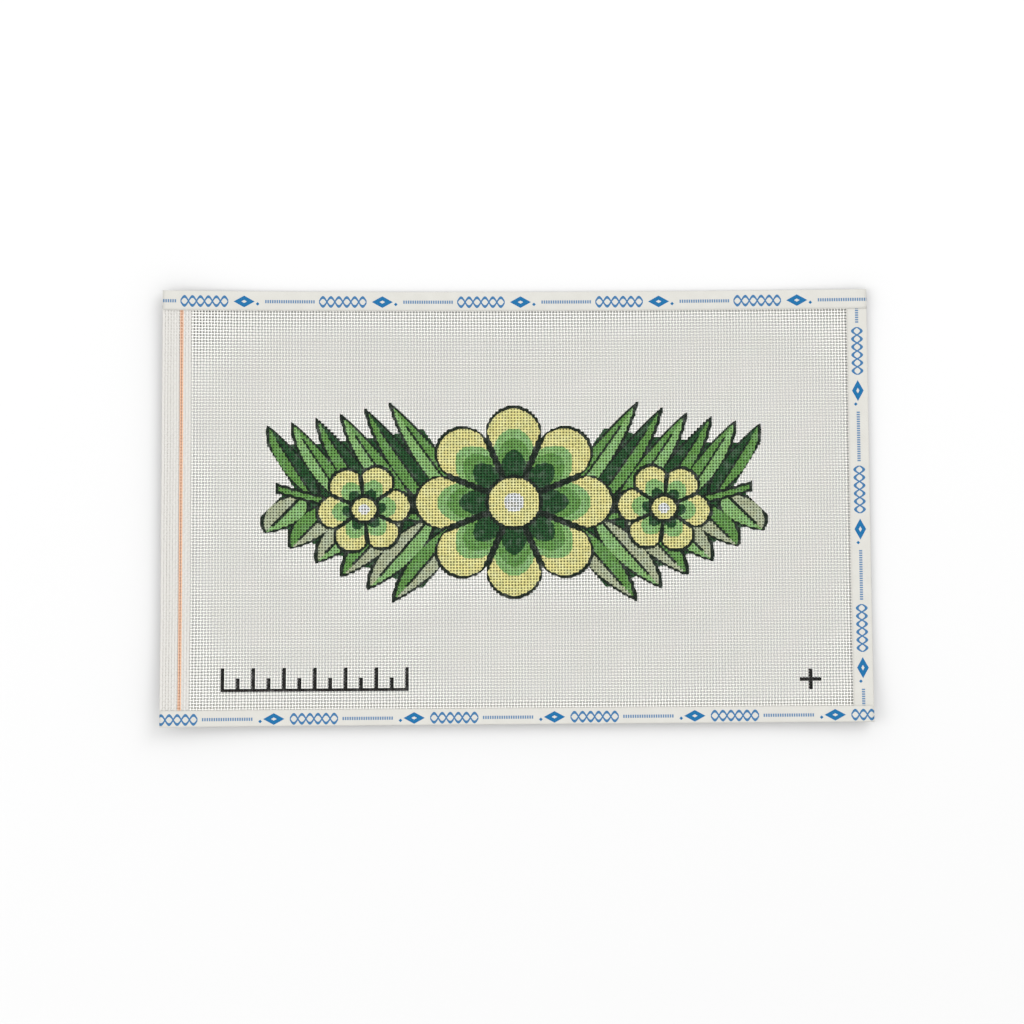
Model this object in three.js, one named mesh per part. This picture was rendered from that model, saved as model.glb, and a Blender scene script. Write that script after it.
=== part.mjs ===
// A hand-painted needlepoint canvas, ready to be stitched: an open-mesh cotton canvas with a
// selvedge down its left side, a pair of orange marker yarns woven into it, and a binding
// tape folded over each of the three cut edges. It lies face up with its rim curling off the
// surface. Millimetres, +X to the right, +Y to the top edge, +Z up out of the painted face.
import * as THREE from "three";

// The outline, as the four corners of the laid canvas seen from above.
const CORNER_BOTTOM_LEFT = [-232.1, -142.4];
const CORNER_BOTTOM_RIGHT = [232.1, -138.8];
const CORNER_TOP_LEFT = [-230.1, 141.4];
const CORNER_TOP_RIGHT = [227.0, 142.4];
const TOP_EDGE_SAG = 1.3; // how far the middle of the top edge bows inwards

// The cloth's own measure: a runs along its width, b up its height, h up from its underside.
const CLOTH_WIDTH = 460.5;
const CLOTH_HEIGHT = 282.5;
const CANVAS_THICKNESS = 0.92;

// How far each edge curls off the surface, and how far in from the edge the curl begins.
const CURL_LEFT = 6.5;
const CURL_RIGHT = 2.5;
const CURL_BOTTOM = 6.0;
const CURL_TOP = 1.0;
const CURL_REACH = 85;
const CURL_STATIONS = 7;
const FLAT_STATION_SPACING = 40;

// One inch cotton tape, folded lengthwise over an edge. The front flap is what shows.
const TAPE_CUT_WIDTH = 25.4;
const TAPE_THICKNESS = 0.3;
const TAPE_GAP = 0.1; // between tape and canvas, and between two tapes at a corner
const FRONT_FLAP = { top: 12.6, right: 13.1, bottom: 10.7 };
const FOLD_FACETS = 6;
const FOLD_REACH = CANVAS_THICKNESS / 2 + TAPE_GAP + TAPE_THICKNESS; // fold past the cut edge
const CORNER_LAYER = TAPE_THICKNESS + TAPE_GAP; // how far one tape is lifted by another under it
const CORNER_RAMP = 3; // length over which a tape climbs onto the one under it

// The selvedge: thick warps side by side, with the marker, a pair of dyed yarns, among them.
const LEFT_WARPS = { first: 0.85, pitch: 1.82, count: 6 };
const RIGHT_WARPS = { first: 14.35, pitch: 1.78, count: 3 };
const RIB_HALF_WIDTH = 0.75;
const RIB_HALF_CREST = 0.4;
const RIB_VALLEY = 0.14;
const MARKER_CENTRE = 12.32;
const MARKER_HALF_WIDTH = 1.1; // of the pair
const MARKER_CREST_START = 0.3; // each yarn's crest, measured from the middle of the pair
const MARKER_CREST_END = 0.8;
const MARKER_HALF_SIDE = 0.08;
const MARKER_HALF_CLEFT = 0.13; // half the thickness where the two yarns touch
const MARKER_THICKNESS = 0.46;
const MARKER_CLEARANCE = 0.08; // round the pair, in its groove
const MARKER_LOW = 0.42; // the pair's underside

// The canvas ends inside the folds on the three taped sides.
const CANVAS_RIGHT = CLOTH_WIDTH - FOLD_REACH;
const CANVAS_BOTTOM = FOLD_REACH;
const CANVAS_TOP = CLOTH_HEIGHT - FOLD_REACH;

const curl = (distance, height) => height * Math.max(0, 1 - distance / CURL_REACH) ** 2;

// Height of the cloth's underside above the surface that it lies on.
const liftAt = (a, b) =>
  curl(a, CURL_LEFT) +
  curl(CLOTH_WIDTH - a, CURL_RIGHT) +
  curl(b, CURL_BOTTOM) +
  curl(CLOTH_HEIGHT - b, CURL_TOP);

// From the cloth's own measure to the part's frame.
function layDown([a, b, h]) {
  const u = a / CLOTH_WIDTH;
  const v = b / CLOTH_HEIGHT;
  const across = (k) =>
    (1 - v) * ((1 - u) * CORNER_BOTTOM_LEFT[k] + u * CORNER_BOTTOM_RIGHT[k]) +
    v * ((1 - u) * CORNER_TOP_LEFT[k] + u * CORNER_TOP_RIGHT[k]);
  return [across(0), across(1) - TOP_EDGE_SAG * Math.sin(Math.PI * u) * v, liftAt(a, b) + h];
}

// Places from one end of a side to the other: close together where it curls, wide apart between.
function stationsAlong(length) {
  const flat = length - 2 * CURL_REACH;
  const flatSteps = Math.round(flat / FLAT_STATION_SPACING);
  const places = [];
  for (let i = 0; i < CURL_STATIONS; i++) places.push((i * CURL_REACH) / CURL_STATIONS);
  for (let i = 0; i <= flatSteps; i++) places.push(CURL_REACH + (i * flat) / flatSteps);
  for (let i = CURL_STATIONS - 1; i >= 0; i--) places.push(length - (i * CURL_REACH) / CURL_STATIONS);
  return places;
}

const WIDTH_STATIONS = stationsAlong(CLOTH_WIDTH);
const HEIGHT_STATIONS = stationsAlong(CLOTH_HEIGHT);

// Two ends, and the stations well between them.
const between = (stations, first, last) => [
  first,
  ...stations.filter((s) => s > first + 1 && s < last - 1),
  last,
];

// A closed solid through a row of sections. Each section is two rows of as many points, one for
// each face of the cloth. Seen from where the row starts, going along the first face and back
// along the second is anticlockwise.
function sweep(name, sections, material) {
  const half = sections[0][0].length;
  const loop = 2 * half;
  const points = sections.flatMap(([first, second]) => [...first, ...[...second].reverse()]);
  const faces = [];
  for (let s = 0; s + 1 < sections.length; s++) {
    for (let i = 0; i < loop; i++) {
      const here = s * loop + i;
      const next = s * loop + ((i + 1) % loop);
      faces.push(here, here + loop, next + loop);
      faces.push(here, next + loop, next);
    }
  }
  const last = (sections.length - 1) * loop;
  for (let i = 0; i + 1 < half; i++) {
    const facing = loop - 1 - i;
    faces.push(i, i + 1, facing - 1);
    faces.push(i, facing - 1, facing);
    faces.push(last + i, last + facing - 1, last + i + 1);
    faces.push(last + i, last + facing, last + facing - 1);
  }
  const geometry = new THREE.BufferGeometry();
  const position = new THREE.Float32BufferAttribute(points.flatMap(layDown), 3);
  geometry.setAttribute("position", position);
  geometry.setIndex(faces);
  geometry.computeVertexNormals();
  const mesh = new THREE.Mesh(geometry, material);
  mesh.name = name;
  return mesh;
}

const warpCentres = ({ first, pitch, count }) =>
  Array.from({ length: count }, (_, i) => first + i * pitch);

// The canvas's upper face across its width, as [a, h]: ribs along the selvedge with a groove for
// the marker, then a plain sheet of the weave's full thickness for the open mesh.
function canvasUpperFace() {
  const valley = CANVAS_THICKNESS - RIB_VALLEY;
  const rib = (centre) => [
    [centre - RIB_HALF_WIDTH, valley],
    [centre - RIB_HALF_CREST, CANVAS_THICKNESS],
    [centre + RIB_HALF_CREST, CANVAS_THICKNESS],
    [centre + RIB_HALF_WIDTH, valley],
  ];
  const grooveHalf = MARKER_HALF_WIDTH + MARKER_CLEARANCE;
  const grooveFloor = MARKER_LOW - MARKER_CLEARANCE;
  const groove = [
    [MARKER_CENTRE - grooveHalf - 0.01, valley],
    [MARKER_CENTRE - grooveHalf, grooveFloor],
    [MARKER_CENTRE + grooveHalf, grooveFloor],
    [MARKER_CENTRE + grooveHalf + 0.01, valley],
  ];
  const rightWarps = warpCentres(RIGHT_WARPS);
  const meshStart = rightWarps.at(-1) + RIB_HALF_WIDTH + 0.3;
  const mesh = between(WIDTH_STATIONS, meshStart, CANVAS_RIGHT).map((a) => [a, CANVAS_THICKNESS]);
  return [
    [0, valley],
    ...warpCentres(LEFT_WARPS).flatMap(rib),
    ...groove,
    ...rightWarps.flatMap(rib),
    ...mesh,
  ];
}

function makeCanvas() {
  const upper = canvasUpperFace();
  const sections = between(HEIGHT_STATIONS, CANVAS_BOTTOM, CANVAS_TOP).map((b) => [
    upper.map(([a]) => [a, b, 0]),
    upper.map(([a, h]) => [a, b, h]),
  ]);
  const cotton = new THREE.MeshStandardMaterial({ color: 0xe3e1dc, roughness: 0.85, metalness: 0 });
  return sweep("canvas", sections, cotton);
}

// The marker lies in its groove from the bottom edge of the canvas to the top. Its two yarns are
// one solid with a cleft between them.
function makeMarkerYarn() {
  const middle = MARKER_LOW + MARKER_THICKNESS / 2;
  const rightHalf = [
    [MARKER_CREST_START, MARKER_THICKNESS / 2],
    [MARKER_CREST_END, MARKER_THICKNESS / 2],
    [MARKER_HALF_WIDTH, MARKER_HALF_SIDE],
  ];
  const leftHalf = rightHalf.map(([across, up]) => [-across, up]).reverse();
  const corners = [...leftHalf, [0, MARKER_HALF_CLEFT], ...rightHalf];
  const sections = between(HEIGHT_STATIONS, CANVAS_BOTTOM, CANVAS_TOP).map((b) => [
    corners.map(([across, up]) => [MARKER_CENTRE + across, b, middle - up]),
    corners.map(([across, up]) => [MARKER_CENTRE + across, b, middle + up]),
  ]);
  const orange = new THREE.MeshStandardMaterial({ color: 0xe79a6c, roughness: 0.8, metalness: 0 });
  return sweep("marker_yarn", sections, orange);
}

// One face of a folded tape, as points [d, h] from the front flap's edge round the fold to the
// back flap's: d is how far in from the cut edge of the canvas. Layer is how much the tape
// opens, on each side, round another tape.
function tapeFace(frontFlap, radius, layer) {
  const front = frontFlap - FOLD_REACH;
  const foldLength = Math.PI * (FOLD_REACH - TAPE_THICKNESS / 2);
  const back = TAPE_CUT_WIDTH - front - foldLength;
  const middle = CANVAS_THICKNESS / 2;
  const face = [[front, middle + radius + layer]];
  for (let i = 0; i <= FOLD_FACETS; i++) {
    const angle = Math.PI / 2 + (i * Math.PI) / FOLD_FACETS;
    face.push([radius * Math.cos(angle), middle + (radius + layer) * Math.sin(angle)]);
  }
  face.push([back, middle - radius - layer]);
  return face;
}

// Both faces of a folded tape at one place along it; place turns [d, h] into [a, b, h].
const tapeSection = (frontFlap, layer, place) =>
  [FOLD_REACH, FOLD_REACH - TAPE_THICKNESS].map((radius) =>
    tapeFace(frontFlap, radius, layer).map(place),
  );

const tapeCotton = () =>
  new THREE.MeshStandardMaterial({ color: 0xebe6dd, roughness: 0.75, metalness: 0 });

// The right tape is folded on first, and its ends lie inside the other two.
function makeRightTape() {
  const sections = between(HEIGHT_STATIONS, CANVAS_BOTTOM, CANVAS_TOP)
    .reverse()
    .map((b) => tapeSection(FRONT_FLAP.right, 0, ([d, h]) => [CANVAS_RIGHT - d, b, h]));
  return sweep("tape_right", sections, tapeCotton());
}

// The top and bottom tapes run the whole width, and climb over the right tape at its ends.
function makeLongTape(name, frontFlap, direction, cutEdge) {
  const rampEnd = CLOTH_WIDTH - TAPE_CUT_WIDTH / 2 - 2;
  const rampStart = rampEnd - CORNER_RAMP;
  const places = between(WIDTH_STATIONS, 0, rampStart);
  places.push(...between(WIDTH_STATIONS, rampEnd, CLOTH_WIDTH));
  if (direction < 0) places.reverse();
  const sections = places.map((a) => {
    const layer = a < rampEnd ? 0 : CORNER_LAYER;
    return tapeSection(frontFlap, layer, ([d, h]) => [a, cutEdge - direction * d, h]);
  });
  return sweep(name, sections, tapeCotton());
}

const needlepointCanvas = new THREE.Group();
needlepointCanvas.add(makeCanvas());
needlepointCanvas.add(makeMarkerYarn());
needlepointCanvas.add(makeRightTape());
needlepointCanvas.add(makeLongTape("tape_top", FRONT_FLAP.top, 1, CANVAS_TOP));
needlepointCanvas.add(makeLongTape("tape_bottom", FRONT_FLAP.bottom, -1, CANVAS_BOTTOM));

export default needlepointCanvas;
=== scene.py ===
"""A hand-painted needlepoint canvas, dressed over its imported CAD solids, in metres."""

import math

import bpy
import numpy as np
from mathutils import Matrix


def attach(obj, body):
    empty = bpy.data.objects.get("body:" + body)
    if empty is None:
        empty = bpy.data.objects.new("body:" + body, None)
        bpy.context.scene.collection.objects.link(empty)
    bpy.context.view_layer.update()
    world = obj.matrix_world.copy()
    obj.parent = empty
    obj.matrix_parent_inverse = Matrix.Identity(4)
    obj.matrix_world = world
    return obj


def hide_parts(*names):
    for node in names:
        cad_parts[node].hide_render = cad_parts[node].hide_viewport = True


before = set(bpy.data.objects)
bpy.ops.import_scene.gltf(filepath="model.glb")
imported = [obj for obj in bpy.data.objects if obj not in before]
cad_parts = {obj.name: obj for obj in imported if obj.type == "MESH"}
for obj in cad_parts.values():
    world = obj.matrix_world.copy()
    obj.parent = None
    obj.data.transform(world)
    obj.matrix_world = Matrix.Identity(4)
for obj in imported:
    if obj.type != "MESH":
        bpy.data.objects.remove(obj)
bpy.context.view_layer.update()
MM = 0.001

# The lay of the cloth. Starched cotton keeps a little of the roll it was cut from, so it curls up
# at its rim and lies in slight waves. Every piece is first made flat, in the cloth's own measure,
# a along its width, b up its height and h up from its underside, and is then laid down.
CORNERS = {
    "bottom left": (-232.1 * MM, -142.4 * MM),
    "bottom right": (232.1 * MM, -138.8 * MM),
    "top left": (-230.1 * MM, 141.4 * MM),
    "top right": (227.0 * MM, 142.4 * MM),
}
TOP_EDGE_SAG = 1.3 * MM
CLOTH_WIDTH = 460.5 * MM
CLOTH_HEIGHT = 282.5 * MM
CLOTH_THICKNESS = 0.92 * MM
CURL_LEFT, CURL_RIGHT = 6.5 * MM, 2.5 * MM
CURL_BOTTOM, CURL_TOP = 6.0 * MM, 1.0 * MM
CURL_REACH = 85 * MM
WAVE_HEIGHT = 0.2 * MM
WAVE_LEVEL = 2.6  # the height of the waves' own middle, in wave heights
WAVE_START = 45 * MM  # how far in from the rim they are at their full height
WAVES = ((310 * MM, 420 * MM, 0.7), (190 * MM, -230 * MM, 2.1))  # lengths along a and b, phase


def waves(a, b):
    """The slight waves of a stiff cloth. They die out towards the rim, which its binding tape
    holds straight."""
    height = WAVE_LEVEL
    for length_a, length_b, phase in WAVES:
        height = height + np.sin(2 * math.pi * (a / length_a + b / length_b) + phase)
    rim = np.minimum(np.minimum(a, CLOTH_WIDTH - a), np.minimum(b, CLOTH_HEIGHT - b))
    inside = np.clip(rim / WAVE_START, 0, 1)
    return WAVE_HEIGHT * height * inside * (2 - inside)


def curl(distance, height):
    """The height of the rim, at some distance in from an edge that curls up to a height."""
    return height * np.maximum(0, 1 - distance / CURL_REACH) ** 2


def laid_down(flat):
    """Rows of a, b, h as points of the part's frame."""
    a, b, h = flat.T
    u, v = a / CLOTH_WIDTH, b / CLOTH_HEIGHT
    corner = {name: np.array(place)[:, None] for name, place in CORNERS.items()}
    lower = (1 - u) * corner["bottom left"] + u * corner["bottom right"]
    upper = (1 - u) * corner["top left"] + u * corner["top right"]
    x, y = (1 - v) * lower + v * upper
    y = y - TOP_EDGE_SAG * np.sin(math.pi * u) * v
    lift = curl(a, CURL_LEFT) + curl(CLOTH_WIDTH - a, CURL_RIGHT)
    lift = lift + curl(b, CURL_BOTTOM) + curl(CLOTH_HEIGHT - b, CURL_TOP)
    return np.stack([x, y, lift + waves(a, b) + h], axis=1)


def cloth_map(mesh, flat):
    """Keeps each point's place on the flat cloth, for the materials, and unrolls front and back
    side by side as the mesh's own UV map."""
    kept = mesh.attributes.new("cloth", "FLOAT_VECTOR", "POINT")
    kept.data.foreach_set("vector", flat.astype(np.float32).ravel())
    corner_point = np.zeros(len(mesh.loops), np.int32)
    mesh.loops.foreach_get("vertex_index", corner_point)
    facing = np.zeros(len(mesh.polygons) * 3, np.float32)
    mesh.polygons.foreach_get("normal", facing)
    sides = np.zeros(len(mesh.polygons), np.int32)
    mesh.polygons.foreach_get("loop_total", sides)
    turned_down = np.repeat(facing[2::3] < 0, sides)
    plan = flat[:, :2]
    low, high = plan.min(axis=0), plan.max(axis=0)
    place = ((plan - low) / (high - low))[corner_point]
    unrolled = mesh.uv_layers.new(name="OFBake")
    place[:, 1] = 0.5 * (place[:, 1] + turned_down)
    unrolled.uv.foreach_set("vector", place.astype(np.float32).ravel())


def finish_piece(name, mesh, slot, *nodes):
    """Lays a flat mesh down as a named piece of the part that stands for CAD nodes."""
    flat = np.zeros(len(mesh.vertices) * 3, np.float32)
    mesh.vertices.foreach_get("co", flat)
    flat = flat.reshape(-1, 3).astype(float)
    cloth_map(mesh, flat)
    mesh.vertices.foreach_set("co", laid_down(flat).astype(np.float32).ravel())
    mesh.update()
    piece = bpy.data.objects.new(name, mesh)
    bpy.context.scene.collection.objects.link(piece)
    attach(piece, "root")
    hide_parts(*nodes)
    return piece


# The painted threads. The canvas is bought woven and starched, and its design is brushed on by
# hand in acrylic paint, which wets the upper side of the threads and little of the under side.
WARP_SPACING = 1.99 * MM
WEFT_SPACING = 1.917 * MM
MESH_START = 19.7 * MM  # where the open mesh begins, right of the selvedge
DESIGN_MIDDLE = (229 * MM, 147 * MM)
BRUSH_STEP = 0.4  # how far the brush keeps to whole threads, from 0, freely, to 1


class Measure:
    """A value that changes over the surface, as an output of a node tree. Sums, products and
    comparisons of measures add the Math nodes for them."""

    def __init__(self, socket):
        self.socket = socket

    def maths(self, operation, *others):
        node = self.socket.id_data.nodes.new("ShaderNodeMath")
        node.operation = operation
        for socket, value in zip(node.inputs, (self, *others), strict=False):
            feed(socket, value)
        return Measure(node.outputs[0])

    def __add__(self, other):
        return self.maths("ADD", other)

    def __sub__(self, other):
        return self.maths("SUBTRACT", other)

    def __rsub__(self, other):
        return self.maths("MULTIPLY", -1).maths("ADD", other)

    def __mul__(self, other):
        return self.maths("MULTIPLY", other)

    def __truediv__(self, other):
        return self.maths("DIVIDE", other)

    def __pow__(self, other):
        return self.maths("POWER", other)

    def __lt__(self, other):
        return self.maths("LESS_THAN", other)

    def __gt__(self, other):
        return self.maths("GREATER_THAN", other)

    def __mod__(self, other):
        return self.maths("FLOORED_MODULO", other)

    def __abs__(self):
        return self.maths("ABSOLUTE")

    def floor(self):
        return self.maths("FLOOR")

    def sine(self):
        return self.maths("SINE")

    def cosine(self):
        return self.maths("COSINE")

    def kept_within(self, low, high):
        return self.maths("MAXIMUM", low).maths("MINIMUM", high)

    def ramp(self, start, end):
        """0 before start, 1 after end, and a straight climb between."""
        return ((self - start) / (end - start)).kept_within(0, 1)


def feed(socket, value):
    """Gives a socket a measure or a plain value."""
    if isinstance(value, Measure):
        socket.id_data.links.new(value.socket, socket)
    else:
        socket.default_value = value


BRIGHT_LIGHT = 1.33  # how much more light than a plain white needs falls on the table


def paint_colour(red, green, blue):
    """The surface's own linear colour, from how it reads in the bright light, 0 to 255."""
    levels = [c / 255 for c in (red, green, blue)]
    linear = [c / 12.92 if c <= 0.04045 else ((c + 0.055) / 1.055) ** 2.4 for c in levels]
    return (*(c / BRIGHT_LIGHT for c in linear), 1)


# Where a Mix node has its sockets for colours.
MIX_AMOUNT, MIX_LOWER, MIX_UPPER, MIX_RESULT = 0, 6, 7, 2


def mixed(tree, lower, upper, amount, blend):
    node = tree.nodes.new("ShaderNodeMix")
    node.data_type = "RGBA"
    node.blend_type = blend
    feed(node.inputs[MIX_AMOUNT], amount)
    feed(node.inputs[MIX_LOWER], lower)
    feed(node.inputs[MIX_UPPER], upper)
    return Measure(node.outputs[MIX_RESULT])


def over(tree, under, colour, amount):
    """A colour laid over another where amount is 1."""
    return mixed(tree, under, colour, amount, "MIX")


def tinted(tree, colour, tint):
    """A colour multiplied by a tint."""
    return mixed(tree, colour, tint, 1.0, "MULTIPLY")


def mottle(tree, place, size, detail=2.0):
    """A soft random pattern from 0 to 1, with patches of about the given size in metres."""
    node = tree.nodes.new("ShaderNodeTexNoise")
    feed(node.inputs["Vector"], place)
    node.inputs["Scale"].default_value = 1 / size
    node.inputs["Detail"].default_value = detail
    return Measure(node.outputs["Fac"])


def attribute(tree, name, output="Vector"):
    """What a mesh keeps at its points under this name."""
    node = tree.nodes.new("ShaderNodeAttribute")
    node.attribute_name = name
    return Measure(node.outputs[output])


def split(tree, vector):
    """The three parts of a vector."""
    node = tree.nodes.new("ShaderNodeSeparateXYZ")
    feed(node.inputs[0], vector)
    return [Measure(output) for output in node.outputs]


def new_group(name, inputs, outputs):
    """An empty shader node group with float inputs, and outputs of the given kinds."""
    tree = bpy.data.node_groups.new(name, "ShaderNodeTree")
    for label in inputs:
        tree.interface.new_socket(label, in_out="INPUT", socket_type="NodeSocketFloat")
    for label, kind in outputs.items():
        tree.interface.new_socket(label, in_out="OUTPUT", socket_type=kind)
    start = tree.nodes.new("NodeGroupInput")
    end = tree.nodes.new("NodeGroupOutput")
    return tree, [Measure(start.outputs[label]) for label in inputs], end


def use_group(tree, group, *values):
    """The outputs of a node group that is fed these values."""
    node = tree.nodes.new("ShaderNodeGroup")
    node.node_tree = group
    for socket, value in zip(node.inputs, values, strict=True):
        feed(socket, value)
    return [Measure(output) for output in node.outputs if output.enabled]


OUTLINE = paint_colour(8, 34, 20)
DEEP_GREEN = paint_colour(24, 80, 38)
LEAF_GREEN = paint_colour(106, 162, 82)
FRESH_GREEN = paint_colour(146, 196, 124)
SAGE = paint_colour(188, 198, 168)
PRIMROSE = paint_colour(236, 232, 160)
CHINA_WHITE = paint_colour(232, 236, 240)
MARKING_BLACK = paint_colour(20, 20, 19)


class Brushwork:
    """The design so far: its colour, and how much of each thread it covers."""

    def __init__(self, tree):
        self.tree = tree
        self.colour = LEAF_GREEN
        self.amount = 0.0

    def brush(self, colour, where):
        self.colour = over(self.tree, self.colour, colour, where)
        self.amount = where.maths("MAXIMUM", self.amount)


# The garland's sizes, in threads, and its shares of a length.
STEM_LOW, STEM_RISE, STEM_REACH = -8, 12, 78
STEM_HALF_WIDTH, STEM_GREEN_HALF_WIDTH = 1.8, 0.8
PAINTED_LINE = 1.2
LEAF_LEAN = 0.75
LEAF_FULLNESS = 0.75
LEAF_LOW_BULGE = 0.8  # below 1, so that a leaf is widest nearer its foot
LEAF_TIP, MIDRIB_END, GROUND_TOP = 0.94, 0.8, 0.8
MIDRIB_HALF_WIDTH = 0.5


def stem_height(out):
    """How high the garland's stem lies at a distance out from the middle. It rises outwards."""
    return out**2 * (STEM_RISE / STEM_REACH**2) + STEM_LOW


def brush_leaf_row(work, out, up, side, row, halves):
    """A row of leaves along one side of the stem, each leaning outwards, on a dark ground.
    halves gives the colours of a leaf's two halves, by turns along the row."""
    rise = (up - stem_height(out)) * side
    place = (out - row["first"] - rise * LEAF_LEAN) / row["spacing"]
    number = place.floor()
    in_row = (number > -0.5) * (number < row["leaves"] - 0.5) * (rise > 0)
    ground_top = (row["longest"] - place * row["taper"]) * GROUND_TOP
    work.brush(DEEP_GREEN, in_row * (rise < ground_top))
    off_middle = (place - number - 0.5) * row["spacing"]
    share = rise / (row["longest"] - number * row["taper"])
    bulge = (share.kept_within(0, 1) ** LEAF_LOW_BULGE * math.pi).sine()
    half_width = bulge**LEAF_FULLNESS * row["half_width"]
    in_leaf = in_row * (share < 1)
    work.brush(OUTLINE, in_leaf * (abs(off_middle) < half_width))
    within = in_leaf * (abs(off_middle) < half_width - PAINTED_LINE) * (share < LEAF_TIP)
    for turn, (inner, outer) in enumerate(halves):
        here = within * (abs(number % len(halves) - turn) < 0.5)
        work.brush(inner, here * (off_middle < 0))
        work.brush(outer, here * (off_middle > 0))
    midrib = in_leaf * (abs(off_middle) < MIDRIB_HALF_WIDTH) * (share < MIDRIB_END)
    work.brush(OUTLINE, midrib)


PETAL_DEPTH = 0.3  # how deep the rim is cut between two petals, as a share of the radius
PETAL_GAP = 0.13  # the dark gap between two petals, likewise
PETAL_ROUNDNESS = 0.6
THROAT_DEPTH = 0.2
FLOWER_EYE = 0.35  # the white of the heart, as a share of it


def brush_flower(work, across, up, flower):
    """An open flower with rounded petals, a ringed throat and a round heart."""
    radius, heart = flower["radius"], flower["heart"]
    distance = (across * across + up * up) ** 0.5
    angle = up.maths("ARCTAN2", across)
    lobe = abs((angle * (flower["petals"] / 2) + flower["turn"]).cosine())
    edge = (lobe**PETAL_ROUNDNESS * PETAL_DEPTH + (1 - PETAL_DEPTH)) * radius
    work.brush(OUTLINE, distance < edge)
    petal = (distance < edge - PAINTED_LINE) * (lobe * distance > PETAL_GAP * radius)
    work.brush(PRIMROSE, petal)
    for colour, reach in flower["throat"]:
        ring = lobe * THROAT_DEPTH * radius + (reach - THROAT_DEPTH) * radius
        work.brush(colour, petal * (distance < ring))
    work.brush(OUTLINE, distance < heart)
    work.brush(PRIMROSE, distance < heart - PAINTED_LINE)
    work.brush(CHINA_WHITE, distance < heart * FLOWER_EYE)


BAR_LENGTH = 60  # threads
BAR_TICKS = ((5, 4.5), (10, 8))  # the threads from tick to tick, and the height of such a tick
MARKING_HALF_WIDTH = 0.6
CROSS_ARM = 3.5


def brush_counting_bar(work, across, up):
    """A plain measure for counting threads: a line with a tick at every fifth thread."""
    on_bar = (across > -0.5) * (across < BAR_LENGTH + 0.5)
    work.brush(MARKING_BLACK, on_bar * (up > 0) * (up < 2 * MARKING_HALF_WIDTH))
    for spacing, height in BAR_TICKS:
        off_tick = abs((across + spacing / 2) % spacing - spacing / 2)
        tick = on_bar * (off_tick < MARKING_HALF_WIDTH) * (up > 0) * (up < height)
        work.brush(MARKING_BLACK, tick)


def brush_cross(work, across, up):
    """A small black cross that marks a corner of the design."""
    upright = (abs(across) < MARKING_HALF_WIDTH) * (abs(up) < CROSS_ARM)
    level = (abs(up) < MARKING_HALF_WIDTH) * (abs(across) < CROSS_ARM)
    work.brush(MARKING_BLACK, upright.maths("MAXIMUM", level))


UPPER_LEAVES = {
    "first": 7,
    "spacing": 10.6,
    "leaves": 6,
    "longest": 38,
    "taper": 3.5,
    "half_width": 6.2,
}
LOWER_LEAVES = {
    "first": 12,
    "spacing": 10.4,
    "leaves": 6,
    "longest": 30,
    "taper": 2.7,
    "half_width": 6.4,
}
UPPER_HALVES = ((LEAF_GREEN, FRESH_GREEN), (DEEP_GREEN, LEAF_GREEN))
LOWER_HALVES = ((SAGE, LEAF_GREEN), (FRESH_GREEN, SAGE))
SIDE_FLOWER = {
    "radius": 16,
    "petals": 6,
    "turn": 0.3,
    "heart": 5,
    "throat": ((FRESH_GREEN, 0.66), (DEEP_GREEN, 0.46)),
}
MAIN_FLOWER = {
    "radius": 33,
    "petals": 8,
    "turn": 0,
    "heart": 9.5,
    "throat": ((FRESH_GREEN, 0.76), (LEAF_GREEN, 0.66), (DEEP_GREEN, 0.54)),
}
# Places in threads from the design's middle.
SIDE_FLOWER_OUT = 49
MAIN_FLOWER_DROP = 1
BAR_PLACE = (-95, -65)
CROSS_PLACE = (96, -62)


def paint_design(tree, across, up):
    """The whole design, read at a place counted in threads from its middle."""
    across = across * (1 - BRUSH_STEP) + (across.floor() + 0.5) * BRUSH_STEP
    up = up * (1 - BRUSH_STEP) + (up.floor() + 0.5) * BRUSH_STEP
    out = abs(across)
    work = Brushwork(tree)
    brush_leaf_row(work, out, up, 1, UPPER_LEAVES, UPPER_HALVES)
    brush_leaf_row(work, out, up, -1, LOWER_LEAVES, LOWER_HALVES)
    off_stem = abs(up - stem_height(out))
    work.brush(OUTLINE, (off_stem < STEM_HALF_WIDTH) * (out < STEM_REACH))
    work.brush(LEAF_GREEN, (off_stem < STEM_GREEN_HALF_WIDTH) * (out < STEM_REACH - 1))
    side_up = up - stem_height(SIDE_FLOWER_OUT)
    brush_flower(work, out - SIDE_FLOWER_OUT, side_up, SIDE_FLOWER)
    brush_flower(work, across, up + MAIN_FLOWER_DROP, MAIN_FLOWER)
    brush_counting_bar(work, across - BAR_PLACE[0], up - BAR_PLACE[1])
    brush_cross(work, across - CROSS_PLACE[0], up - CROSS_PLACE[1])
    return work


def garland_group():
    """The painted design as a group for materials."""
    outputs = {"Color": "NodeSocketColor", "Amount": "NodeSocketFloat"}
    tree, (across, up), end = new_group("Painted garland", ["Across", "Up"], outputs)
    work = paint_design(tree, across, up)
    feed(end.inputs["Color"], work.colour)
    feed(end.inputs["Amount"], work.amount)
    return tree


DULL_SPECULAR = 0.25


def new_material(name, roughness):
    """A material, its node tree and its Principled shader."""
    material = bpy.data.materials.new(name)
    material.use_nodes = True
    shader = material.node_tree.nodes["Principled BSDF"]
    shader.inputs["Roughness"].default_value = roughness
    shader.inputs["Specular IOR Level"].default_value = DULL_SPECULAR
    return material, material.node_tree, shader


PLY = 0.42 * MM  # from one ply of a twisted yarn to the next
PLY_SLANT = 0.8


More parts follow.
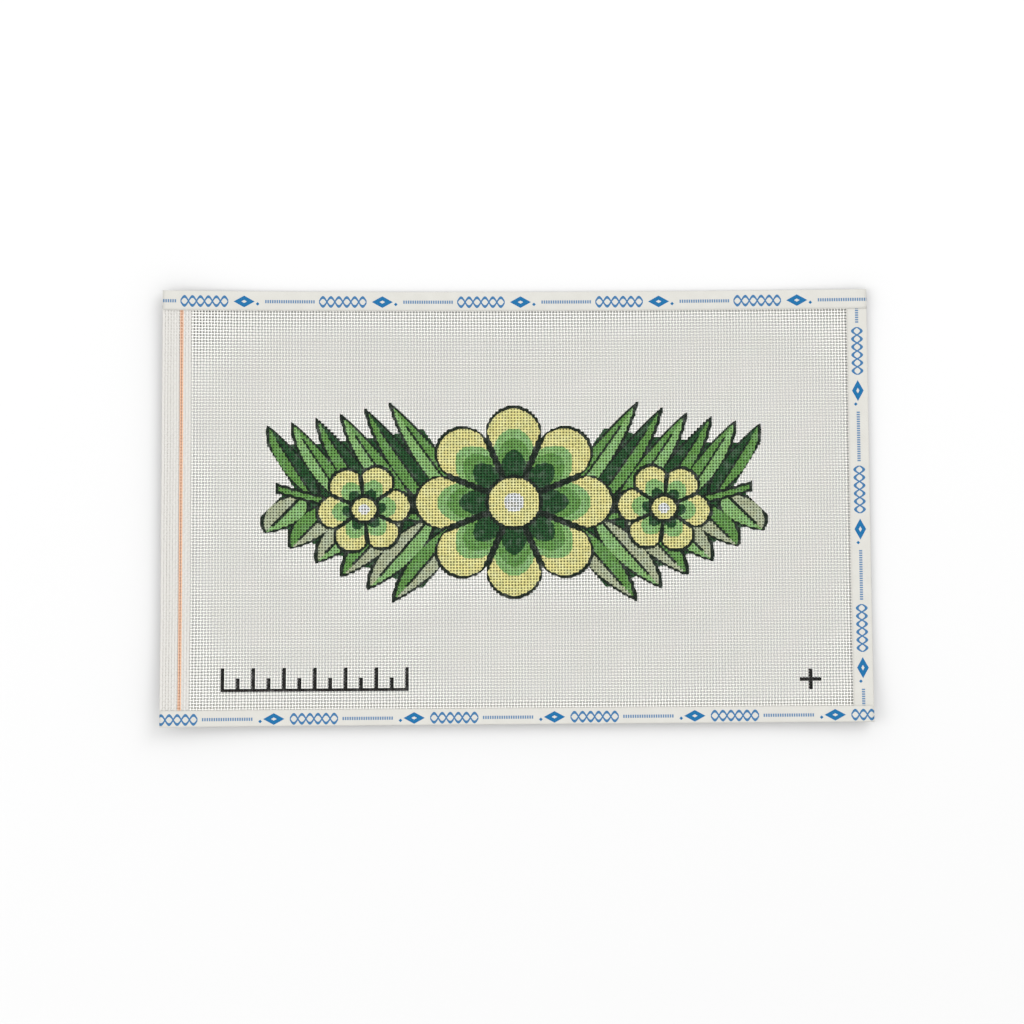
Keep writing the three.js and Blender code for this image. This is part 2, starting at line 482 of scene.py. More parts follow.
def twist_group():
    """The plies of a twisted yarn, as a height, from a place on the flat cloth in metres."""
    outputs = {"Height": "NodeSocketFloat"}
    tree, (along, across), end = new_group("Yarn twist", ["Along", "Across"], outputs)
    slant = (along + across * PLY_SLANT) / PLY
    feed(end.inputs["Height"], (slant * (2 * math.pi)).sine() * 0.5 + 0.5)
    return tree


yarn_twist = twist_group()
painted_garland = garland_group()

COTTON = (0.786, 0.78, 0.747, 1)
COTTON_SHADE = (0.722, 0.715, 0.676, 1)
SELVEDGE_TINT = (0.698, 0.688, 0.688, 1)
WHITE = (1, 1, 1, 1)
WARM_TINT = (1, 0.95, 0.87, 1)
DULL_TINT = (0.8, 0.82, 0.8, 1)
PAINTED_HOLLOW_SHADE = (0.15, 0.15, 0.14, 1)  # painted shade, darkest on the yarns' sides beside the holes
PAINTED_DEPTH_SHADE = (0.26, 0.26, 0.23, 1)  # painted shade on paint that lies low, on the yarns' sides and in the holes
STROKE_SIZE, BEAD_SIZE, FIBRE_SIZE = 5 * MM, 1.7 * MM, 0.5 * MM
FIBRE_DEPTH = 0.05 * MM
COTTON_SPECULAR = 0.14
COTTON_ROUGHNESS = 0.88
PAINT_SMOOTHING = 0.28  # how much less rough paint makes it
MESH_EDGE = MESH_START - 0.7 * MM  # between the selvedge's last warp and the mesh's first
# The painted hollow shade fades out between these distances from the cloth's middle, up and
# down, and the painted shade of low-lying paint between these heights.
HOLLOW_REACH = (0.06 * MM, 0.29 * MM)
DEPTH_SHADE_REACH = (0.12 * MM, 0.8 * MM)
SOAKED_PAINT = 0.5  # how much of the paint's colour shows on the under side
SOAKED_HEIGHT = 0.1 * MM  # above it the paint is full


def bump(tree, shader, height, depth):
    """Gives a surface fine relief, from a height and the depth in metres of one unit of it."""
    node = tree.nodes.new("ShaderNodeBump")
    node.inputs["Strength"].default_value = 1
    node.inputs["Distance"].default_value = depth
    feed(node.inputs["Height"], height)
    tree.links.new(node.outputs["Normal"], shader.inputs["Normal"])


def painted_cotton():
    material, tree, shader = new_material("painted_cotton", COTTON_ROUGHNESS)
    cloth = attribute(tree, "cloth")
    a, b, h = split(tree, cloth)
    across = (a - DESIGN_MIDDLE[0]) / WARP_SPACING
    up = (b - DESIGN_MIDDLE[1]) / WEFT_SPACING
    design, amount = use_group(tree, painted_garland, across, up)
    strokes = mottle(tree, cloth, STROKE_SIZE, 3)
    fibres = mottle(tree, cloth, FIBRE_SIZE)
    tone = attribute(tree, "tone", "Fac")
    bare = over(tree, COTTON_SHADE, COTTON, (tone * 0.4 + fibres * 0.6).kept_within(0, 1))
    in_mesh = a > MESH_EDGE
    off_middle = abs(h - CLOTH_THICKNESS / 2).ramp(*HOLLOW_REACH)
    bare = tinted(tree, bare, over(tree, SELVEDGE_TINT, WHITE, in_mesh))
    # Painted shade: in the open mesh the bare yarn is darkened on its sides, beside the holes.
    bare = tinted(tree, bare, over(tree, WHITE, PAINTED_HOLLOW_SHADE, in_mesh * (1 - off_middle)))
    thin = over(tree, design, COTTON, strokes.ramp(0.5, 0.8) * 0.1 + fibres.ramp(0.5, 0.8) * 0.1)
    beads = mottle(tree, cloth, BEAD_SIZE, 0)
    varied = over(tree, DULL_TINT, WHITE, beads.ramp(0.3, 0.6))
    varied = tinted(tree, varied, over(tree, WARM_TINT, WHITE, strokes.ramp(0.35, 0.6)))
    # Painted shade: paint is darkened the lower it lies, on the yarns' sides and on the skins in
    # the holes.
    depth_shade = over(tree, PAINTED_DEPTH_SHADE, WHITE, h.ramp(*DEPTH_SHADE_REACH))
    painted = tinted(tree, tinted(tree, thin, varied), depth_shade)
    wetted = h.ramp(0, SOAKED_HEIGHT) * (1 - SOAKED_PAINT) + SOAKED_PAINT
    colour = over(tree, bare, painted, amount * wetted)
    feed(shader.inputs["Base Color"], colour)
    feed(shader.inputs["Roughness"], amount * -PAINT_SMOOTHING + COTTON_ROUGHNESS)
    (twist,) = use_group(tree, yarn_twist, a, b)
    bump(tree, shader, twist * 0.6 + fibres * 0.4, FIBRE_DEPTH)
    shader.inputs["Specular IOR Level"].default_value = COTTON_SPECULAR
    return material


# The weave. Warps run up the canvas and wefts across it, over and under by turns, thirteen to
# the inch. Starch has set them flat where they cross.
YARN_HALF_WIDTH = 0.5 * MM
YARN_HALF_HEIGHT = 0.3 * MM
YARN_WAVER = 0.14 * MM
WEAVE_DEPTH = 0.16 * MM  # how far a yarn swings up and down from the cloth's middle
PROFILE_SIDES = 6
WEFT_FIRST = 1.7 * MM
WEFTS = 146
OWN_SEED, PLACE_SEED, TONE_SEED = 3, 5, 7
MOST_CROSSINGS = 1000  # above any thread's count, so that each crossing has its own number

THREAD_INPUTS = {
    "Threads": "NodeSocketInt",
    "Crossings": "NodeSocketInt",
    "First thread": "NodeSocketInt",
    "First crossing": "NodeSocketInt",
    "Thread start": "NodeSocketFloat",
    "Thread spacing": "NodeSocketFloat",
    "Crossing start": "NodeSocketFloat",
    "Crossing spacing": "NodeSocketFloat",
    "Half width": "NodeSocketFloat",
    "Height": "NodeSocketFloat",
    "Depth": "NodeSocketFloat",
    "Waver": "NodeSocketFloat",
    "Spread": "NodeSocketFloat",
    "Side": "NodeSocketInt",
    "Runs across": "NodeSocketBool",
    "Material": "NodeSocketMaterial",
}


def chance(tree, low, high, number, seed):
    """A random value between low and high, the same each time for the same number."""
    node = tree.nodes.new("FunctionNodeRandomValue")
    node.data_type = "FLOAT"
    sockets = {socket.name: socket for socket in node.inputs if socket.enabled}
    feed(sockets["Min"], low)
    feed(sockets["Max"], high)
    feed(sockets["ID"], number)
    feed(sockets["Seed"], seed)
    return Measure(next(output for output in node.outputs if output.enabled))


def place_of(tree, x, y, z):
    """A vector of three measures or plain values."""
    node = tree.nodes.new("ShaderNodeCombineXYZ")
    for socket, value in zip(node.inputs, (x, y, z), strict=True):
        feed(socket, value)
    return Measure(node.outputs[0])


def new_geometry_tree(name, inputs):
    """An empty Geometry Nodes tree with named inputs, and its values for the named inputs."""
    tree = bpy.data.node_groups.new(name, "GeometryNodeTree")
    tree.interface.new_socket("Geometry", in_out="INPUT", socket_type="NodeSocketGeometry")
    for label, kind in inputs.items():
        tree.interface.new_socket(label, in_out="INPUT", socket_type=kind)
    tree.interface.new_socket("Geometry", in_out="OUTPUT", socket_type="NodeSocketGeometry")
    start = tree.nodes.new("NodeGroupInput")
    return tree, start, {output.name: Measure(output) for output in start.outputs if output.name}


def add_and_end(tree, made, start, material):
    """Adds what a node made to the geometry that came in, and gives it all one material."""
    joined = tree.nodes.new("GeometryNodeJoinGeometry")
    tree.links.new(made.outputs[0], joined.inputs[0])
    tree.links.new(start.outputs["Geometry"], joined.inputs[0])
    real = tree.nodes.new("GeometryNodeRealizeInstances")
    tree.links.new(joined.outputs[0], real.inputs[0])
    coloured = tree.nodes.new("GeometryNodeSetMaterial")
    tree.links.new(real.outputs[0], coloured.inputs["Geometry"])
    feed(coloured.inputs["Material"], material)
    end = tree.nodes.new("NodeGroupOutput")
    tree.links.new(coloured.outputs[0], end.inputs[0])


def thread_tree():
    """Weaves one set of threads, all warps or all wefts, and adds it to what comes in."""
    tree, start, given = new_geometry_tree("Woven threads", THREAD_INPUTS)
    index = Measure(tree.nodes.new("GeometryNodeInputIndex").outputs[0])

    row = (index / given["Crossings"]).floor()
    thread = row + given["First thread"]
    crossing = index - row * given["Crossings"] + given["First crossing"]
    own = chance(tree, -0.5, 0.5, thread, OWN_SEED) * given["Waver"]
    number = thread * MOST_CROSSINGS + crossing
    here = chance(tree, -0.5, 0.5, number, PLACE_SEED) * given["Waver"]
    beside = thread * given["Thread spacing"] + given["Thread start"] + own + here
    along = crossing * given["Crossing spacing"] + given["Crossing start"]
    swing = 1 - (thread + crossing + given["Side"]) % 2 * 2
    height = swing * given["Depth"] + given["Height"]
    turn = tree.nodes.new("GeometryNodeSwitch")
    turn.input_type = "VECTOR"
    feed(turn.inputs["Switch"], given["Runs across"])
    feed(turn.inputs["False"], place_of(tree, beside, along, height))
    feed(turn.inputs["True"], place_of(tree, along, beside, height))

    points = tree.nodes.new("GeometryNodePoints")
    feed(points.inputs["Count"], given["Threads"] * given["Crossings"])
    feed(points.inputs["Radius"], swing * given["Spread"] + 1)
    tree.links.new(turn.outputs[0], points.inputs["Position"])
    tone = tree.nodes.new("GeometryNodeStoreNamedAttribute")
    tone.inputs["Name"].default_value = "tone"
    tree.links.new(points.outputs[0], tone.inputs["Geometry"])
    feed(tone.inputs["Value"], chance(tree, 0, 1, thread, TONE_SEED))
    curves = tree.nodes.new("GeometryNodePointsToCurves")
    tree.links.new(tone.outputs[0], curves.inputs["Points"])
    feed(curves.inputs["Curve Group ID"], thread)
    feed(curves.inputs["Weight"], crossing)
    upright = tree.nodes.new("GeometryNodeSetCurveNormal")
    upright.mode = "Z_UP"
    tree.links.new(curves.outputs[0], upright.inputs["Curve"])
    circle = tree.nodes.new("GeometryNodeCurvePrimitiveCircle")
    circle.inputs["Resolution"].default_value = PROFILE_SIDES
    circle.inputs["Radius"].default_value = 1
    flattened = tree.nodes.new("GeometryNodeTransform")
    tree.links.new(circle.outputs["Curve"], flattened.inputs["Geometry"])
    flat_height = YARN_HALF_HEIGHT / math.cos(math.pi / PROFILE_SIDES)
    size = place_of(tree, given["Half width"], flat_height, 1.0)
    feed(flattened.inputs["Scale"], size)
    tubes = tree.nodes.new("GeometryNodeCurveToMesh")
    tree.links.new(upright.outputs[0], tubes.inputs["Curve"])
    tree.links.new(flattened.outputs[0], tubes.inputs["Profile Curve"])
    tubes.inputs["Fill Caps"].default_value = True
    add_and_end(tree, tubes, start, given["Material"])
    return tree


def input_identifiers(tree):
    return {i.name: i.identifier for i in tree.interface.items_tree if i.in_out == "INPUT"}


def made_flat(name, steps):
    """Runs Geometry Nodes trees one after another, each with its inputs, and gives the mesh
    that they make, in the cloth's own measure."""
    maker = bpy.data.objects.new(name, bpy.data.meshes.new(name))
    bpy.context.scene.collection.objects.link(maker)
    for tree, inputs in steps:
        modifier = maker.modifiers.new(tree.name, "NODES")
        modifier.node_group = tree
        identifiers = input_identifiers(tree)
        for label, value in inputs.items():
            modifier[identifiers[label]] = value
    depsgraph = bpy.context.evaluated_depsgraph_get()
    mesh = bpy.data.meshes.new_from_object(maker.evaluated_get(depsgraph), depsgraph=depsgraph)
    bpy.data.objects.remove(maker)
    mesh.shade_smooth()
    return mesh


woven_threads = thread_tree()


def warp_set(material, first, count, start, spacing, half_width, spread):
    """Warps from number first on. They run up the canvas, through every weft, and spread by
    some share where they lie on top of one."""
    return {
        "Threads": count,
        "Crossings": WEFTS + 1,
        "First thread": first,
        "First crossing": 0,
        "Thread start": start - first * spacing,
        "Thread spacing": spacing,
        "Crossing start": WEFT_FIRST,
        "Crossing spacing": WEFT_SPACING,
        "Half width": half_width,
        "Height": CLOTH_THICKNESS / 2,
        "Depth": WEAVE_DEPTH,
        "Waver": YARN_WAVER,
        "Spread": spread,
        "Side": 0,
        "Runs across": False,
        "Material": material,
    }


def weft_set(material, first_warp, warps, start, spacing):
    """All the wefts, over the stretch that holds these warps and up to the next one."""
    return {
        "Threads": WEFTS,
        "Crossings": warps + 1,
        "First thread": 0,
        "First crossing": first_warp,
        "Thread start": WEFT_FIRST,
        "Thread spacing": WEFT_SPACING,
        "Crossing start": start - first_warp * spacing,
        "Crossing spacing": spacing,
        "Half width": YARN_HALF_WIDTH,
        "Height": CLOTH_THICKNESS / 2,
        "Depth": WEAVE_DEPTH,
        "Waver": YARN_WAVER,
        "Spread": 0.0,
        "Side": 1,
        "Runs across": True,
        "Material": material,
    }


# The selvedge, the canvas's woven edge, has thicker cotton warps, closed up so that they hide most
# of the wefts and leave only pinholes. It leaves room for the marker's two warps.
MESH = {"half_width": YARN_HALF_WIDTH, "spread": 0.0}
CLOSE = {"half_width": 0.96 * MM, "spread": 0.06}
SELVEDGE_LEFT = {"first": 0, "warps": 6, "start": 0.78 * MM, "spacing": 1.87 * MM, **CLOSE}
SELVEDGE_RIGHT = {"first": 8, "warps": 3, "start": 14.06 * MM, "spacing": 1.88 * MM, **CLOSE}
MARKER = {
    "first": 6,
    "warps": 2,
    "start": 11.74 * MM,
    "spacing": 1.16 * MM,
    "half_width": 0.56 * MM,
    "spread": 0.5,
}
MESH_FIRST_WARP = 11
BAND_WARPS = (37, 46, 46, 46, 46)


def stretch_steps(stretch, material, with_warps=True):
    """The steps that weave one stretch: its warps, unless they are left out, and its wefts."""
    place = (stretch["first"], stretch["warps"], stretch["start"], stretch["spacing"])
    steps = []
    if with_warps:
        width = (stretch["half_width"], stretch["spread"])
        steps.append((woven_threads, warp_set(material, *place, *width)))
    steps.append((woven_threads, weft_set(material, *place)))
    return steps


cotton = painted_cotton()
first = 0
for band, warps in enumerate(BAND_WARPS):
    stretch = {
        "first": MESH_FIRST_WARP + first,
        "warps": warps,
        "start": MESH_START + first * WARP_SPACING,
        "spacing": WARP_SPACING,
        **MESH,
    }
    steps = stretch_steps(stretch, cotton)
    width = warps * WARP_SPACING
    if band == 0:
        steps += stretch_steps(SELVEDGE_LEFT, cotton)
        steps += stretch_steps(MARKER, cotton, with_warps=False)
        steps += stretch_steps(SELVEDGE_RIGHT, cotton)
        width += MESH_START
    name = f"canvas_mesh_{band + 1}"
    piece = finish_piece(name, made_flat(name, steps), "canvas", "canvas")
    first += warps


# The marker. A pair of dyed cotton yarns is woven into the selvedge, side by side and over every
# weft, to show which way the canvas ran on its roll.
MARKER_DEEP, MARKER_PALE = paint_colour(228, 174, 142), paint_colour(250, 210, 180)
MARKER_PAINTED_SHADE = (0.55, 0.42, 0.34, 1)  # painted shade where the dyed yarns sink
MARKER_SHADE_TOP = (0.8 * MM, 1.0 * MM)  # the heights between which that shade fades out
MARKER_SHADE_SIDE = (0.4 * MM, 0.8 * MM)  # likewise the distances from the pair's middle
MARKER_SHIFT = 0.2 * MM
MARKER_MIDDLE = MARKER["start"] + MARKER["spacing"] / 2 + MARKER_SHIFT
MARKER_HEIGHT = 0.66 * MM
MARKER_DEPTH = 0.12 * MM
STREAK_SIZE = 4 * MM
MARKER_SHEEN = 0.15


def marker_dye():
    material, tree, shader = new_material("marker_dye", 0.8)
    cloth = attribute(tree, "cloth")
    a, b, h = split(tree, cloth)
    fibres = mottle(tree, cloth, FIBRE_SIZE)
    streaks = mottle(tree, cloth, STREAK_SIZE)
    dyed = over(tree, MARKER_DEEP, MARKER_PALE, fibres * 0.6 + streaks * 0.5)
    outer_side = abs(a - MARKER_MIDDLE).ramp(*MARKER_SHADE_SIDE)
    lit = h.ramp(*MARKER_SHADE_TOP).maths("MAXIMUM", outer_side)
    # Painted shade: the yarns are darkened where they sink, towards the pair's middle.
    hollow = over(tree, MARKER_PAINTED_SHADE, WHITE, lit)
    feed(shader.inputs["Base Color"], tinted(tree, dyed, hollow))
    (twist,) = use_group(tree, yarn_twist, b, a)
    bump(tree, shader, twist, FIBRE_DEPTH)
    shader.inputs["Sheen Weight"].default_value = MARKER_SHEEN
    return material


def marker_steps(material):
    """The steps for the marker's two yarns. They lie over every weft side by side, and between
    two wefts they sink and draw in, which leaves a small gap."""
    steps = []
    for turn in range(MARKER["warps"]):
        number, place = MARKER["first"] + turn, MARKER["start"] + turn * MARKER["spacing"]
        width = (MARKER["half_width"], MARKER["spread"])
        inputs = warp_set(material, number, 1, place + MARKER_SHIFT, MARKER["spacing"], *width)
        inputs["Crossings"] = 2 * WEFTS + 1
        inputs["Crossing spacing"] = WEFT_SPACING / 2
        inputs["Height"] = MARKER_HEIGHT
        inputs["Depth"] = MARKER_DEPTH
        inputs["Waver"] = YARN_WAVER / 2
        inputs["Side"] = number % 2
        steps.append((woven_threads, inputs))
    return steps


marker_mesh = made_flat("marker_pair", marker_steps(marker_dye()))
finish_piece("marker_pair", marker_mesh, "marker_yarn", "marker_yarn")

# The paint skins. Acrylic paint has run into the holes of the mesh under the design, and has
# dried as a thin skin low in each hole, stuck to the threads around it. Lying low, each skin
# shows the paint darkened as painted shade, so the skins also paint the shade deep in the holes.
SKIN_HEIGHT = 0.1 * MM
SKIN_WIDTH = 1.1 * MM


def skin_tree():
    """Spans the painted holes of the open mesh with a skin, added to what comes in."""
    inputs = {"Warps": "NodeSocketInt", "Wefts": "NodeSocketInt", "Material": "NodeSocketMaterial"}
    tree, start, given = new_geometry_tree("Paint in the holes", inputs)
    index = Measure(tree.nodes.new("GeometryNodeInputIndex").outputs[0])
    row = (index / given["Warps"]).floor()
    column = index - row * given["Warps"]
    a = (column + 0.5) * WARP_SPACING + MESH_START
    b = (row + 0.5) * WEFT_SPACING + WEFT_FIRST
    across = (a - DESIGN_MIDDLE[0]) / WARP_SPACING
    up = (b - DESIGN_MIDDLE[1]) / WEFT_SPACING
    points = tree.nodes.new("GeometryNodePoints")
    feed(points.inputs["Count"], given["Warps"] * given["Wefts"])
    feed(points.inputs["Position"], place_of(tree, a, b, SKIN_HEIGHT))
    bare = tree.nodes.new("GeometryNodeDeleteGeometry")
    tree.links.new(points.outputs[0], bare.inputs["Geometry"])
    feed(bare.inputs["Selection"], paint_design(tree, across, up).amount < 0.5)
    patch = tree.nodes.new("GeometryNodeMeshGrid")
    for label in ("Size X", "Size Y"):
        patch.inputs[label].default_value = SKIN_WIDTH
    for label in ("Vertices X", "Vertices Y"):
        patch.inputs[label].default_value = 2
    patches = tree.nodes.new("GeometryNodeInstanceOnPoints")
    tree.links.new(bare.outputs[0], patches.inputs["Points"])
    tree.links.new(patch.outputs["Mesh"], patches.inputs["Instance"])
    add_and_end(tree, patches, start, given["Material"])
    return tree


skin_inputs = {"Warps": sum(BAND_WARPS), "Wefts": WEFTS, "Material": cotton}
skin_mesh = made_flat("paint_in_holes", [(skin_tree(), skin_inputs)])
finish_piece("paint_in_holes", skin_mesh, "canvas", "canvas")

# The binding tapes. One inch crepe tape is folded lengthwise over each cut edge and pressed
# down on both sides. A fine blue pattern is printed along the half that shows.
TAPE_CUT_WIDTH = 25.4 * MM
TAPE_THICKNESS = 0.3 * MM
TAPE_GAP = 0.1 * MM
FRONT_FLAP = {"top": 12.6 * MM, "right": 13.1 * MM, "bottom": 10.7 * MM}
FOLD_REACH = CLOTH_THICKNESS / 2 + TAPE_GAP + TAPE_THICKNESS
CORNER_LAYER = TAPE_THICKNESS + TAPE_GAP
CORNER_RAMP = 3 * MM
CORNER_MARGIN = 2 * MM
FOLD_FACETS = 10
FLAP_ROWS = np.array([1, 0.85, 0.6, 0.3])  # where a flap's rows of points lie, edge to fold
STATION_SPACING = 3 * MM
CANVAS_RIGHT = CLOTH_WIDTH - FOLD_REACH
CANVAS_BOTTOM = FOLD_REACH
CANVAS_TOP = CLOTH_HEIGHT - FOLD_REACH


def tape_face(front_flap, radius, layer):
    """One face of a folded tape as rows of d, h: from the front flap's edge round the fold to
    the back flap's. d is how far in from the canvas's cut edge."""
    front = front_flap - FOLD_REACH
    back = TAPE_CUT_WIDTH - front - math.pi * (FOLD_REACH - TAPE_THICKNESS / 2)
    middle = CLOTH_THICKNESS / 2
    angle = np.linspace(math.pi / 2, 3 * math.pi / 2, FOLD_FACETS + 1)
    fold = np.stack([radius * np.cos(angle), middle + (radius + layer) * np.sin(angle)], axis=1)
    flap = FLAP_ROWS[:, None]
    upper = flap * [front, 0] + [0, middle + radius + layer]
    lower = flap[::-1] * [back, 0] + [0, middle - radius - layer]
    return np.concatenate([upper, fold, lower])


def tape_mesh(name, front_flap, length, layer_at, place, material):
    """A folded tape. place turns distances along it, in from the cut edge and up into a, b, h."""
    stations = np.linspace(0, length, round(length / STATION_SPACING) + 1)
    points, tape_places = [], []
    for s in stations:
        layer = layer_at(s)
        outer = tape_face(front_flap, FOLD_REACH, layer)
        inner = tape_face(front_flap, FOLD_REACH - TAPE_THICKNESS, layer)
        loop = np.concatenate([outer, inner[::-1]])
        points += [place(s, d, h) for d, h in loop]
        tape_places += [(s, front_flap - FOLD_REACH - d, h) for d, h in loop]
    count = len(loop)
    half = count // 2
    faces = []
    for k in range(len(stations) - 1):
        for i in range(count):
            here, following = k * count + i, k * count + (i + 1) % count
            faces.append((here, here + count, following + count, following))
    last = (len(stations) - 1) * count
    for i in range(half - 1):
        faces.append((i, i + 1, count - 2 - i, count - 1 - i))
        faces.append((last + i, last + count - 1 - i, last + count - 2 - i, last + i + 1))
    mesh = bpy.data.meshes.new(name)
    mesh.from_pydata(points, [], faces)
    mesh.materials.append(material)
    on_tape = mesh.attributes.new("tape", "FLOAT_VECTOR", "POINT")
    on_tape.data.foreach_set("vector", np.array(tape_places, np.float32).ravel())
    mesh.update()
    mesh.shade_smooth()
    return mesh


PRINT_REPEAT = 90.5 * MM
DASH_ROW, DASH_SPACING, DASH_LENGTH, DASH_HALF_HEIGHT = 33 * MM, 1.5 * MM, 1.0 * MM, 1.05 * MM
DOT_PLACE, DOT_RISE, DOT_REACH = 37.4 * MM, 1.5 * MM, 1.2 * MM
LOZENGE_PLACE = 46.2 * MM
LOZENGE_REACH = (6.9 * MM, 3.8 * MM)
LOZENGE_HOLE_REACH = (1.8 * MM, 1.0 * MM)
TWIST_START, TWIST_END, TWIST_PITCH = 56.5 * MM, 87.7 * MM, 10.4 * MM
TWIST_HEIGHT, TWIST_HALF_WIDTH = 2.9 * MM, 0.95 * MM
DASH_INK, TWIST_INK = 0.82, 0.94
PRINT_INK = paint_colour(0, 102, 156)
TAPE_CREAM = paint_colour(214, 213, 207)
TAPE_SHADE = paint_colour(198, 196, 189)
CLOUD_SIZE, CREPE_SIZE, CREPE_DEPTH = 9 * MM, 0.7 * MM, 0.06 * MM
CREPE_HOLLOWS = (0.3, 0.42)
MISSED_INK = 0.08  # how much ink the hollows of the crepe miss


def printed_pattern_group():
    """A repeat of the tape's plain print, from places in metres along and across it: a row of
    fine dashes, a dot, a solid lozenge and a two-strand twist."""
    tree, (along, off_line), end = new_group(
        "Tape print", ["Along", "Off line"], {"Ink": "NodeSocketFloat"}
    )
    along = along % PRINT_REPEAT
    dashes = (along < DASH_ROW) * (abs(off_line) < DASH_HALF_HEIGHT)
    dashes = dashes * (along % DASH_SPACING < DASH_LENGTH)
    dot = (abs(along - DOT_PLACE) + abs(off_line - DOT_RISE)) < DOT_REACH
    lozenge_along = abs(along - LOZENGE_PLACE)
    across_lozenge, across_hole = (
        lozenge_along / reach_along + abs(off_line) / reach_up
        for reach_along, reach_up in (LOZENGE_REACH, LOZENGE_HOLE_REACH)
    )
    lozenge = (across_lozenge < 1) * (across_hole > 1)
    strand = ((along - TWIST_START) * (2 * math.pi / TWIST_PITCH)).sine() * TWIST_HEIGHT
    on_twist = (along > TWIST_START) * (along < TWIST_END)
    near_strand = abs(off_line - strand).maths("MINIMUM", abs(off_line + strand))
    twist = on_twist * (near_strand < TWIST_HALF_WIDTH)
    ink = (dashes * DASH_INK).maths("MAXIMUM", dot)
    ink = ink.maths("MAXIMUM", lozenge).maths("MAXIMUM", twist * TWIST_INK)
    feed(end.inputs["Ink"], ink)
    return tree


tape_print = printed_pattern_group()


def crepe_tape(name, direction, first_repeat, print_line):
    """Crepe tape with its print on a line so far in from its front edge. The print runs along
    the tape, from first_repeat on, where direction is 1, and back along it where it is -1."""
    material, tree, shader = new_material(name, 0.75)
    s, t, h = split(tree, attribute(tree, "tape"))
    cloth = attribute(tree, "cloth")
    along, off_line = (s - first_repeat) * direction, (t - print_line) * direction
    (ink,) = use_group(tree, tape_print, along, off_line)
    clouds = mottle(tree, cloth, CLOUD_SIZE)
    crepe = mottle(tree, cloth, CREPE_SIZE, 4)
    ground = over(tree, TAPE_SHADE, TAPE_CREAM, (clouds * 0.6 + crepe * 0.6).kept_within(0, 1))
    on_front = h > CLOTH_THICKNESS
    covered = ink * on_front * (crepe.ramp(*CREPE_HOLLOWS) * MISSED_INK + (1 - MISSED_INK))
    feed(shader.inputs["Base Color"], over(tree, ground, PRINT_INK, covered))
    a, b, _ = split(tree, cloth)
    warp_ribs = (a * (2 * math.pi / WARP_SPACING)).sine()
    weft_ribs = (b * (2 * math.pi / WEFT_SPACING)).sine()
    bump(tree, shader, crepe * 0.5 + warp_ribs * weft_ribs * 0.35, CREPE_DEPTH)
    return material


def long_tape_layer(s):
    """The long tapes climb over the right tape near its end of them."""
    ramp_end = CLOTH_WIDTH - TAPE_CUT_WIDTH / 2 - CORNER_MARGIN
    return CORNER_LAYER * min(1, max(0, (s - ramp_end + CORNER_RAMP) / CORNER_RAMP))


def right_tape_place(s, d, h):
    return (CANVAS_RIGHT - d, CANVAS_TOP - s, h)


# Each tape's length, its layer and its place on the cloth.
TAPES = {
    "top": (CLOTH_WIDTH, long_tape_layer, lambda s, d, h: (s, CANVAS_TOP - d, h)),
    "right": (CANVAS_TOP - CANVAS_BOTTOM, lambda s: 0, right_tape_place),
    "bottom": (CLOTH_WIDTH, long_tape_layer, lambda s, d, h: (s, CANVAS_BOTTOM + d, h)),
}
# The way each tape's print runs, where a first repeat starts and how far in its line lies.
TAPE_PRINTS = {
    "top": (-1, 99.2 * MM, 5.9 * MM),
    "right": (-1, 111.6 * MM, 6.5 * MM),
    "bottom": (1, 27.2 * MM, 6.0 * MM),
}
for side, (length, layer_at, place) in TAPES.items():
    crepe = crepe_tape("crepe_tape_" + side, *TAPE_PRINTS[side])
    mesh = tape_mesh("binding_" + side, FRONT_FLAP[side], length, layer_at, place, crepe)
    if side == "bottom":
        mesh.flip_normals()
    piece = finish_piece("binding_" + side, mesh, "tape", "tape_" + side)

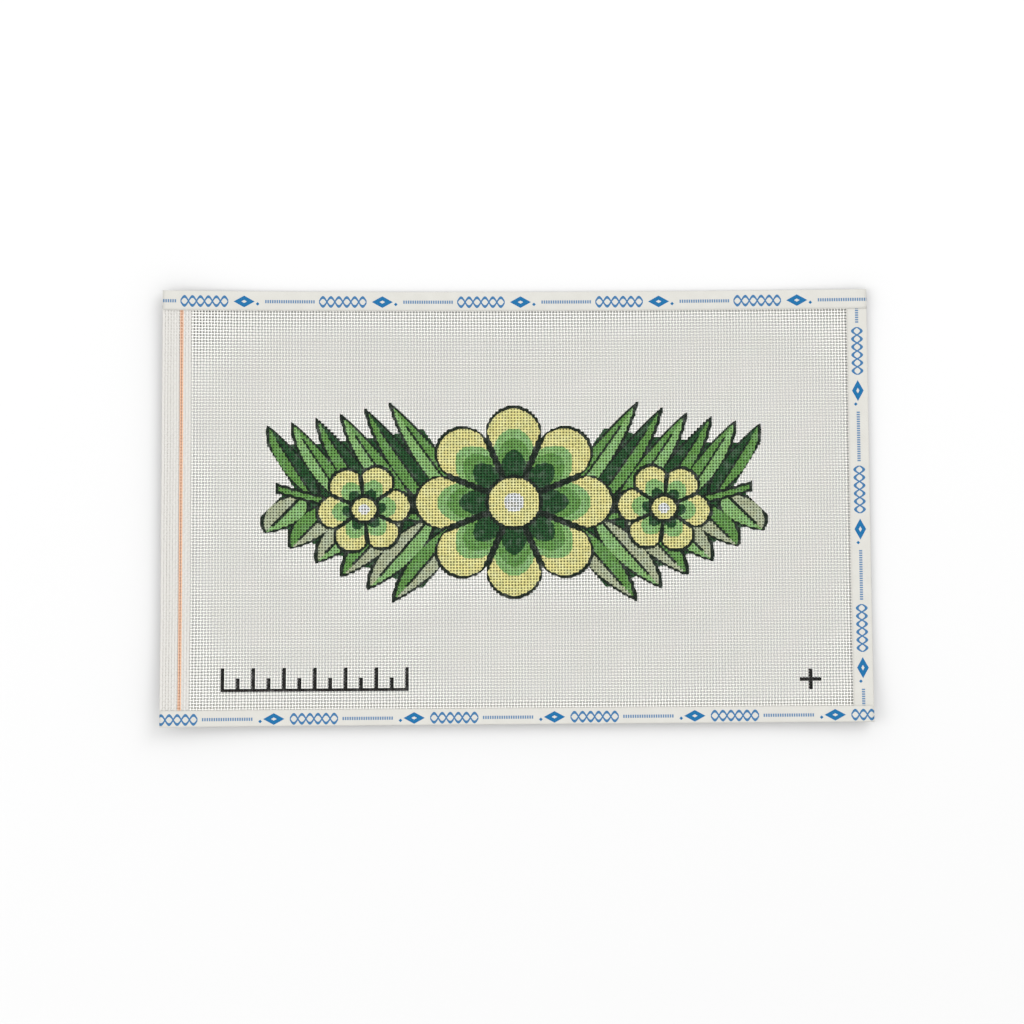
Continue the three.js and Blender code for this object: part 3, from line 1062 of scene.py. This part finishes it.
# The photographer's table: a plain white sweep between two large softboxes, at the upper right
# and the left, in an even white surround, seen by a camera straight above.
PIXEL = 0.651 * MM  # what one pixel of the photograph takes in
PHOTO_PIXELS = 1024
PHOTO_WIDTH = PHOTO_PIXELS * PIXEL
CAMERA_PLACE = (-3.3 * MM, -2.6 * MM)
LENS, SENSOR = 200, 36  # these two in millimetres, as the camera takes them
TABLE_WHITE = (0.6, 0.6, 0.6, 1)
TABLE_DROP = 0.05 * MM  # keeps the table's face just clear of the canvas
TABLE_CORNERS = ((-6, -6, 0), (6, -6, 0), (6, 6, 0), (-6, 6, 0))
SOFTBOX_WIDTH = 1.8
SOFTBOXES = {"key_softbox": ((1.3, 1.5, 2.0), 18), "fill_softbox": ((-1.9, -0.1, 1.9), 12)}
SURROUND_POWER = 0.98


def white_table():
    """The table's face, as stage."""
    material, _, shader = new_material("white_table", 0.6)
    shader.inputs["Base Color"].default_value = TABLE_WHITE
    mesh = bpy.data.meshes.new("floor")
    mesh.from_pydata(TABLE_CORNERS, [], [range(4)])
    mesh.materials.append(material)
    floor = bpy.data.objects.new("floor", mesh)
    floor.location.z = -TABLE_DROP
    bpy.context.scene.collection.objects.link(floor)


def soft_light(name, place, power):
    """A round softbox that faces the middle of the canvas."""
    lamp = bpy.data.lights.new(name, "AREA")
    lamp.shape = "DISK"
    lamp.size = SOFTBOX_WIDTH
    lamp.energy = power * BRIGHT_LIGHT
    light = bpy.data.objects.new(name, lamp)
    light.location = place
    light.rotation_euler = (-light.location).to_track_quat("-Z", "Y").to_euler()
    bpy.context.scene.collection.objects.link(light)


white_table()
for name, (place, power) in SOFTBOXES.items():
    soft_light(name, place, power)
world = bpy.data.worlds.new("surround")
world.use_nodes = True
background = world.node_tree.nodes["Background"]
background.inputs["Color"].default_value = WHITE
background.inputs["Strength"].default_value = SURROUND_POWER * BRIGHT_LIGHT
bpy.context.scene.world = world
bpy.context.scene.view_settings.view_transform = "Standard"

camera_data = bpy.data.cameras.new("camera")
camera_data.lens = LENS
camera_data.sensor_width = SENSOR
camera = bpy.data.objects.new("camera", camera_data)
camera.location = (*CAMERA_PLACE, PHOTO_WIDTH * LENS / SENSOR)
bpy.context.scene.collection.objects.link(camera)
bpy.context.scene.camera = camera
